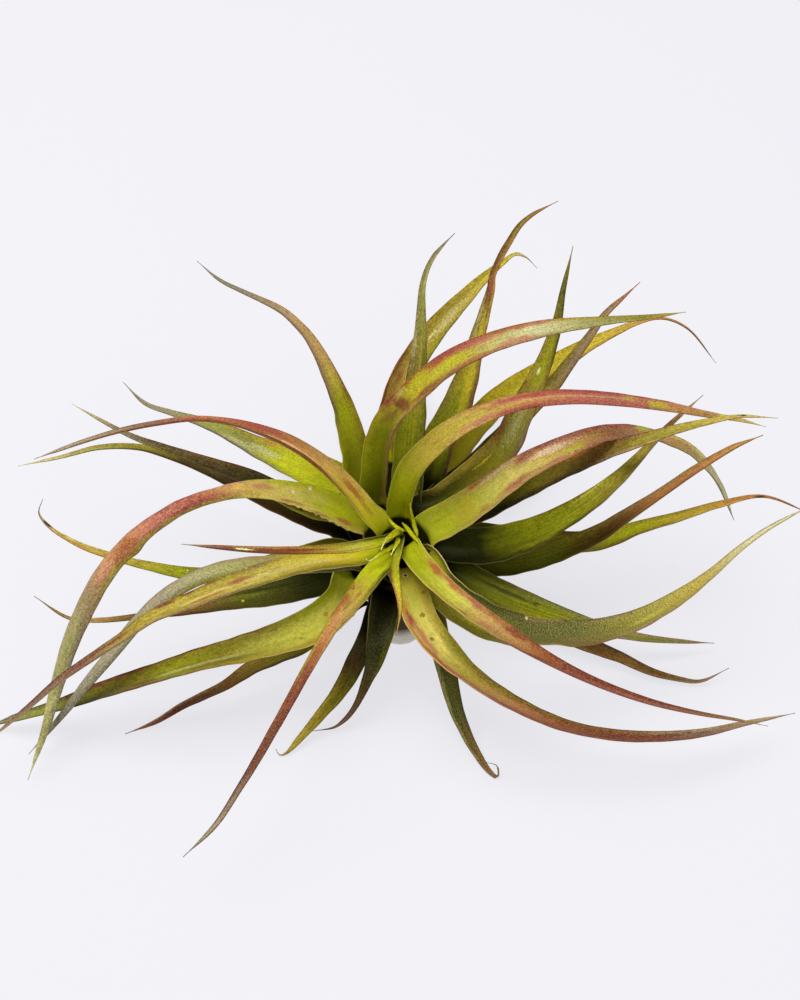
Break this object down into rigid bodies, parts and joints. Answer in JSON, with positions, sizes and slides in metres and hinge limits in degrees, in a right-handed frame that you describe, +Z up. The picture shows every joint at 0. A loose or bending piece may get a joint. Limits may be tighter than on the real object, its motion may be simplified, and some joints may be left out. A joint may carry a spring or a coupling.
{
  "type": "air plant",
  "caption": "Bare-root air plant: a rosette of long, arching, channelled leaves on a short stem.",
  "frame": {"origin": "centre of the flat foot of the stem, on the surface that the plant rests on", "axes": "+Z up along the stem, +X along the plant's longest spread, +Y away from the viewer of the picture"},
  "size_m": [0.2539, 0.2117, 0.1126],
  "materials": {
    "leaf": "satin",
    "young_leaf": "satin",
    "lower_leaf": "satin",
    "stem": "matte"
  },
  "bodies": {
    "root": {"stem": "stem", "young_leaf_1": "young_leaf", "young_leaf_2": "young_leaf", "leaf_01": "leaf", "leaf_02": "leaf", "leaf_03": "leaf", "leaf_04": "leaf", "leaf_05": "leaf", "leaf_06": "leaf", "leaf_07": "leaf", "leaf_08": "leaf", "leaf_09": "leaf", "leaf_10": "leaf", "leaf_11": "leaf", "leaf_12": "leaf", "leaf_13": "leaf", "leaf_14": "leaf", "leaf_15": "leaf", "leaf_16": "leaf", "leaf_17": "leaf", "leaf_18": "leaf", "leaf_19": "leaf", "leaf_20": "leaf", "leaf_21": "leaf", "leaf_22": "leaf", "leaf_23": "leaf", "leaf_24": "leaf", "leaf_25": "lower_leaf", "leaf_26": "leaf", "leaf_27": "lower_leaf", "leaf_28": "lower_leaf", "leaf_29": "lower_leaf", "leaf_30": "leaf", "leaf_31": "lower_leaf", "leaf_32": "leaf", "leaf_33": "lower_leaf", "leaf_34": "leaf", "leaf_35": "lower_leaf", "leaf_36": "leaf", "back_leaf_1": "lower_leaf", "back_leaf_2": "lower_leaf", "back_leaf_3": "lower_leaf", "back_leaf_4": "lower_leaf", "back_leaf_5": "lower_leaf", "back_leaf_6": "leaf", "back_leaf_7": "leaf", "back_leaf_8": "leaf", "back_leaf_9": "leaf"}
  },
  "joints": []
}
